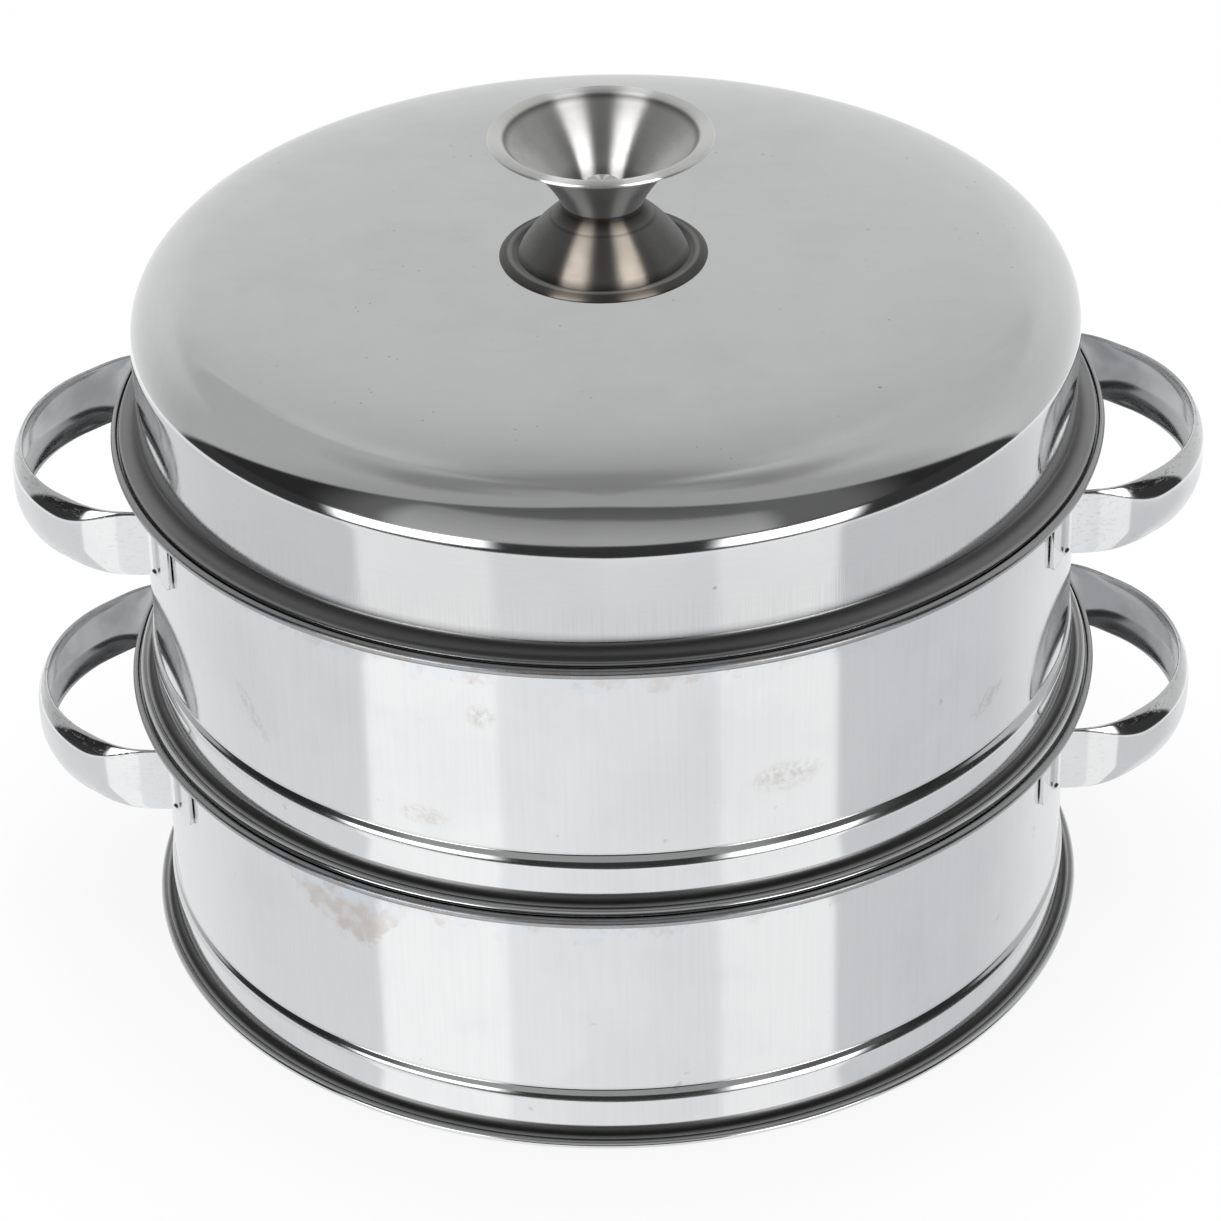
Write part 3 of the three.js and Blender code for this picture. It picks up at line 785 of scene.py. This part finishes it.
# shares of darker tone and painted shade by place on the knob, and of the painted highlight on the bead
knobDullAndShade = dict(
    cone=0.70, flange=0.84, crease=0.85, groove=0.95, beadHighlight=0.28, cupOutside=0.52, cupTurn=0.6, cupFloor=0.45,
    headBare=0.7)


def nearTo(value, middle, reach):
    # 1 at the middle, falling to 0 at the reach
    return smooth(reach, reach / 2, np.abs(value - middle))


def baseMarks(section, size, dull):
    # darker cone and flange; painted shade: black groove round its foot, black top under the cup, thin dark crease
    # below the neck; painted highlight on the bead
    radius, height = section.T
    crease = dull["crease"] * nearTo(height, size["baseHeight"] - size["neckHeight"], 0.5)
    groove = dull["groove"] * nearTo(radius, size["foot"] + size["groove"], 1.0) * (height < 3)
    top = smooth(size["baseHeight"] - 1.2, size["baseHeight"] - 0.6, height)
    cone = dull["cone"] + (dull["flange"] - dull["cone"]) * smooth(size["foot"], size["foot"] + 1, radius)
    # painted highlight: a bright line along the bead's crest
    bead = dull["beadHighlight"] * nearTo(radius, size["foot"] + 3.2, 0.7) * (height > 1)
    return dict(dull=np.maximum.reduce([cone, crease, groove, top]) * (1 - bead), bare=bead)


def cupMarks(section, size, dull):
    # rubbed flat rim; painted shade: dark line inside where it turns down, darker low down, black foot where the cup
    # meets the base; darker outside
    radius, height = section.T
    out = np.arange(len(section)) < len(section) / 2
    rim = smooth(size["mouth"] + 0.4, size["mouth"] + 1.2, radius)
    turn = dull["cupTurn"] * nearTo(radius, size["mouth"] - 0.2, 0.8) * ~out
    foot = smooth(1.4, 0.4, height) * out
    floor = dull["cupFloor"] * smooth(6, 3, height)
    return dict(dull=np.maximum.reduce([dull["cupOutside"] * out, turn, foot, floor]) * (1 - rim), bare=rim)


def rivetSection(size):
    # tail, shank and raised head with a worn edge, from the axis out and back
    tail, shank, head = size["tail"], size["rivet"], size["head"]
    under, crest = size["headGap"], size["headGap"] + size["headRise"]
    tailTop = -size["sheet"] - size["tailGap"]
    tailFoot = tailTop - size["tailRise"]
    top = [(head, under), (head, (under + crest) / 2), (size["headTop"], crest), (0, crest)]
    bend = size["tailRound"]
    return joinRuns(
        lineRun((0, tailFoot), (tail - bend, tailFoot), 3),
        arcRun(tail - bend, tailFoot + bend, bend, bend, -90, 0, 5),
        lineRun((tail, tailTop), (shank, tailTop)),
        lineRun((shank, tailTop), (shank, under)),
        lineRun((shank, under), (head, under), 3),
        roundedPath(top, size["headBends"]))


def baseOf(node):
    # lowest height of a node, in millimetres
    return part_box(node)[0].z / mm


polished, satin, strap = polishedSheet(polishedLook), floorSheet(floorLook), strapSheet(strapLook)
lidSteel, spun = lidSheet(lidLook), knobSheet(knobLook)
print("finishes made")

tierLine = tierSection(tierSize)
tierPaint = tierMarks(tierLine, tierSize, tierDullAndShade)
for tier in ("lower", "upper"):
    base = baseOf(f"{tier}_shell")
    body = f"{tier}_tier"
    shell = turnedPiece(f"{tier}Shell", tierLine, base, tierSize["turns"], **tierPaint)
    placePiece(shell, body, "polished_sheet", polished, f"{tier}_shell")
    placePiece(floorPiece(f"{tier}SteamFloor", base), body, "floor_sheet", satin, f"{tier}_steam_floor")
    for turn, side in enumerate(("right", "left")):
        handle = strapPiece(f"{tier}Handle{side.title()}", base, turn)
        placePiece(handle, body, "handle_strap", strap, f"{tier}_handle_{side}")
print("tiers made")

lidLine = lidSection(lidSize)
lidShell = turnedPiece("lidShell", lidLine, baseOf("lid_shell"), lidSize["turns"], True,
                       **lidMarks(lidLine, lidSize, lidDullAndShade))
placePiece(lidShell, "lid", "lid_sheet", lidSteel, "lid_shell")

cones = []
for cone, path, marks in (("base", knobBasePath, baseMarks), ("cup", knobCupPath, cupMarks)):
    line = sheetSection(path(knobSize), knobSize["sheet"])
    piece = turnedPiece(f"knob{cone.title()}", line, baseOf(f"knob_{cone}"), knobSize["turns"],
                        **marks(line, knobSize, knobDullAndShade))
    cones.append(placePiece(piece, "lid", "knob_sheet", spun, f"knob_{cone}"))
knobBase, knobCup = cones
rivetLine = rivetSection(knobSize)
bareHead = np.full(len(rivetLine), knobDullAndShade["headBare"])
knobRivet = turnedPiece("knobRivet", rivetLine, baseOf("knob_cup"), knobSize["rivetTurns"], True,
                        dull=0 * bareHead, bare=bareHead)
placePiece(knobRivet, "lid", "knob_sheet", spun, "knob_rivet")
print("lid and knob made")


# studio: white floor, the room that the steel mirrors, a soft lamp for the shadow, soft boxes for the knob

studio = dict(
    floorHalf=6.0, floorTone=1.0, paperTone=0.9, shadowShare=0.14, lampPower=35.0, lampSize=1.6, lampHeight=1.9,
    cupLampPower=5.4, coneLampPower=7.4, coneLampTint=(1.0, 0.89, 0.77),
    knobLampWide=0.44, knobLampTall=0.7, knobLampAway=0.8, knobLampLift=30, knobLampTurns=(-43, 41))

room = dict(
    # pairs are left and right; table, with turns from the front in degrees
    wedges=((-63.1, -28.5), (25.3, 56.1)), wedgeSoft=1.4, bright=(grey(1.09), grey(1.02)), middleTurns=(-30.0, 30.0),
    middle=(colour(0.945, 0.95, 0.955), colour(0.875, 0.88, 0.89)),
    flank=(colour(0.79, 0.795, 0.805), colour(0.695, 0.70, 0.715)), behind=colour(0.86, 0.865, 0.87),
    tableFall=28.0, fallLeft=8.5, fallRight=2.5, brink=grey(1.3),
    # ground past the table's edge, strips between degrees of rise
    dark=grey(0.04), sideShade=grey(0.025), frontShade=grey(0.14),
    strips=((-18.4, -15.7, -4.1, -2.5), (-24.2, -20.6, -8.0, -5.8)), stripSoft=4.5, stripTone=grey(3.0),
    # greys by degrees of rise
    sideSweeps=(
        ((-30, 0.46), (0, 0.47), (30, 0.46), (54, 0.46), (60, 0.40), (66, 0.27), (72, 0.26), (78, 0.33), (84, 0.38)),
        ((-30, 0.58), (0, 0.60), (30, 0.55), (56, 0.53), (61, 0.48), (67, 0.33), (72, 0.27), (78, 0.33), (84, 0.38))),
    backSweep=((-30, 0.90), (-6, 0.82), (6, 0.78), (18, 0.74), (24, 0.71), (28, 0.66), (30, 0.60), (32, 0.535),
               (34, 0.475), (35, 0.43), (37, 0.36), (41, 0.27), (60, 0.26), (72, 0.27), (84, 0.38)),
    frontWall=((-8, 0.05), (-2, 0.42), (6, 0.42), (18, 0.38), (30, 0.34), (41, 0.29), (47, 0.14), (66, 0.11)),
    # where ground ends and sweep begins: rise ahead, at the sides, lean to the right
    skyAhead=66.0, skyLevel=4.0, skyLean=5.5, skySoft=2.5,
    overhead=grey(0.39))


def seenRay(finish):
    # 1 for camera and see-through rays
    camera, through = [finish.add("LightPath", out=f"Is {ray} Ray") for ray in ("Camera", "Transmission")]
    return (camera + through).math("MINIMUM", 1.0)


def floorFinish():
    # white to the camera, with a share of lit paper that takes the shadow
    finish = finishMaterial("studioFloor")
    paper = finish.add("BsdfDiffuse", {"Color": grey(studio["paperTone"])})
    glow = finish.add("Emission", {"Color": grey(1), "Strength": studio["floorTone"]})
    share = seenRay(finish) * (1 - studio["shadowShare"])
    whole = finish.add("MixShader", {0: share, 1: paper, 2: glow})
    finish.add("OutputMaterial", {"Surface": whole})
    return finish.owner


def studioFloor():
    # flat square under the stack
    half = studio["floorHalf"]
    mesh = bpy.data.meshes.new("studioFloor")
    mesh.from_pydata([(-half, -half, 0), (half, -half, 0), (half, half, 0), (-half, half, 0)], [], [(0, 1, 2, 3)])
    mesh.materials.append(floorFinish())
    floor = bpy.data.objects.new("studioFloor", mesh)
    bpy.context.collection.objects.link(floor)
    floor.visible_glossy = False  # the steel mirrors the room's table instead


def roomWorld():
    # the room that the steel mirrors, by direction: a white table with a brighter wedge each side and darker
    # flanks, dark ground past its edge with a strip light over each wedge, a pale sweep behind and overhead,
    # and a grey wall in front
    world = bpy.data.worlds.new("room")
    bpy.context.scene.world = world
    finish = Finish(world)
    x, y, z = finish.place("Generated")[1]
    flat = (x * x + y * y).math("SQRT") + 0.0001  # never 0
    front, side = y * -1.0 / flat, x / flat
    turn = x.math("ARCTAN2", y * -1.0) * perRadian
    rise = z.math("ARCSINE") * perRadian
    right = side.eased(-0.3, 0.3)
    toRight, toLeft = side.math("MAXIMUM", 0.0), side.math("MINIMUM", 0.0)

    def between(low, high, soft):
        # 1 between two turns
        return turn.plateau(low - soft, low + soft, high - soft, high + soft)

    def strip(wedge, rises):
        # 1 over a wedge, between its rises
        return between(*wedge, room["stripSoft"]) * rise.plateau(*rises)

    def byRise(height, stops):
        # greys between stops in degrees, -90 to 90 along the ramp
        shades = finish.add("ValToRGB", {0: height / 180.0 + 0.5})
        ramp = shades.socket.node.color_ramp.elements
        for _ in stops[2:]:
            ramp.new(0.5)
        for element, (degrees, tone) in zip(ramp, stops):
            element.position = degrees / 180 + 0.5
            element.color = grey(tone)
        return shades

    (leftWedge, rightWedge), soft = room["wedges"], room["wedgeSoft"]
    flank = finish.mix(front.eased(-0.2, -0.8), finish.mix(right, *room["flank"]), room["behind"])
    middle = finish.mix(turn.eased(*room["middleTurns"]), *room["middle"])
    table = finish.mix(between(leftWedge[0], rightWedge[1], soft), flank, middle)
    wedges = between(*leftWedge, soft) + between(*rightWedge, soft)
    table = finish.mix(wedges, table, finish.mix(right, *room["bright"]))
    overEdge = rise + room["tableFall"] - toRight * room["fallRight"] + toLeft * room["fallLeft"]
    table = finish.mix(overEdge.eased(-5.0, -0.5) * 0.5, table, room["brink"])

    frontWall = byRise(rise + toRight * 22.0, room["frontWall"])
    shade = finish.mix(front.eased(0.30, 0.60), room["sideShade"], room["frontShade"])
    shade = finish.mix((front - side * 0.12).eased(0.68, 0.78), shade, frontWall)
    shade = finish.mix(rise.eased(-6.0, -2.0), room["dark"], shade)
    leftStrip, rightStrip = map(strip, room["wedges"], room["strips"])
    shade = finish.mix(leftStrip + rightStrip, shade, room["stripTone"])

    later = side.math("ABSOLUTE") ** 0.62 * rise.eased(31.0, 44.0) * 38.0  # the dark comes higher up to the sides
    back = front + toRight * 0.08
    sweep = finish.mix(right, *[byRise(rise, stops) for stops in room["sideSweeps"]])
    sweep = finish.mix(back.eased(rise.eased(28.0, 38.0) * -0.645 - 0.30, -0.998), sweep,
                       byRise(rise - later, room["backSweep"]))
    sweep = finish.mix(front.eased(-0.10, 0.40), sweep, room["overhead"])

    overSky = rise - (front * room["skyAhead"] + room["skyLevel"] - side * room["skyLean"])
    tone = finish.mix(overSky.eased(-room["skySoft"], room["skySoft"]), shade, sweep)
    tone = finish.mix(overEdge.eased(-1.0, 1.0), table, tone)
    tone = finish.mix(finish.add("LightPath", out="Is Camera Ray"), tone, grey(1))  # white to the camera
    glow = finish.add("Background", {"Color": tone, "Strength": 1.0})
    finish.add("OutputWorld", {"Surface": glow})


def softLamp(name, power, wide, tall, spot, aim):
    # area lamp facing a point
    lamp = bpy.data.lights.new(name, "AREA")
    lamp.shape = "RECTANGLE"
    lamp.size, lamp.size_y = wide, tall
    lamp.energy = power
    place = bpy.data.objects.new(name, lamp)
    facing = (Vector(aim) - Vector(spot)).to_track_quat("-Z", "Y")
    place.matrix_world = Matrix.Translation(spot) @ facing.to_matrix().to_4x4()
    bpy.context.collection.objects.link(place)
    return place


def knobLamps(name, power, tint, *pieces):
    # two tall soft boxes flagged off from all but these pieces of the knob
    group = bpy.data.collections.new(name)
    for piece in pieces:
        group.objects.link(piece)
        piece.visible_glossy = False  # the photographed crown mirrors no knob
    aim = Vector((0, 0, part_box("knob_base")[1].z))
    lift = math.radians(studio["knobLampLift"])
    for turn in studio["knobLampTurns"]:
        side = math.radians(turn)
        away = Vector((math.sin(side) * math.cos(lift), -math.cos(side) * math.cos(lift), math.sin(lift)))
        lamp = softLamp(f"{name}{turn}", power, studio["knobLampWide"], studio["knobLampTall"],
                        aim + away * studio["knobLampAway"], aim)
        lamp.data.color = tint
        lamp.light_linking.receiver_collection = group


studioFloor()
roomWorld()
shadowLamp = softLamp("shadowLamp", studio["lampPower"], studio["lampSize"], studio["lampSize"],
                      (0, 0, studio["lampHeight"]), (0, 0, 0))
shadowLamp.visible_glossy = False
knobLamps("coneLamp", studio["coneLampPower"], studio["coneLampTint"], knobBase)
knobLamps("cupLamp", studio["cupLampPower"], (1, 1, 1), knobCup, knobRivet)
print("studio made")


# camera at the photograph's angle

view = dict(
    imageWidth=1221, focalPixels=4175.2, distance=1.1960, elevation=32.5, roll=-1.333, target=(-0.00039, 0, 0.0869),
    sensor=36.0)


def photoCamera():
    # stands back from its target along the elevation, rolled a little
    camera = bpy.data.cameras.new("photoCamera")
    camera.sensor_width = view["sensor"]
    camera.lens = view["focalPixels"] / view["imageWidth"] * view["sensor"]
    camera.clip_end = 50
    place = bpy.data.objects.new("photoCamera", camera)
    tilt = math.radians(view["elevation"])
    back = Vector((0, -math.cos(tilt), math.sin(tilt))) * view["distance"]
    look = Matrix.Rotation(math.pi / 2 - tilt, 4, "X") @ Matrix.Rotation(math.radians(view["roll"]), 4, "Z")
    place.matrix_world = Matrix.Translation(Vector(view["target"]) + back) @ look
    bpy.context.collection.objects.link(place)
    bpy.context.scene.camera = place


photoCamera()
bpy.context.scene.view_settings.view_transform = "Standard"
print("camera set")
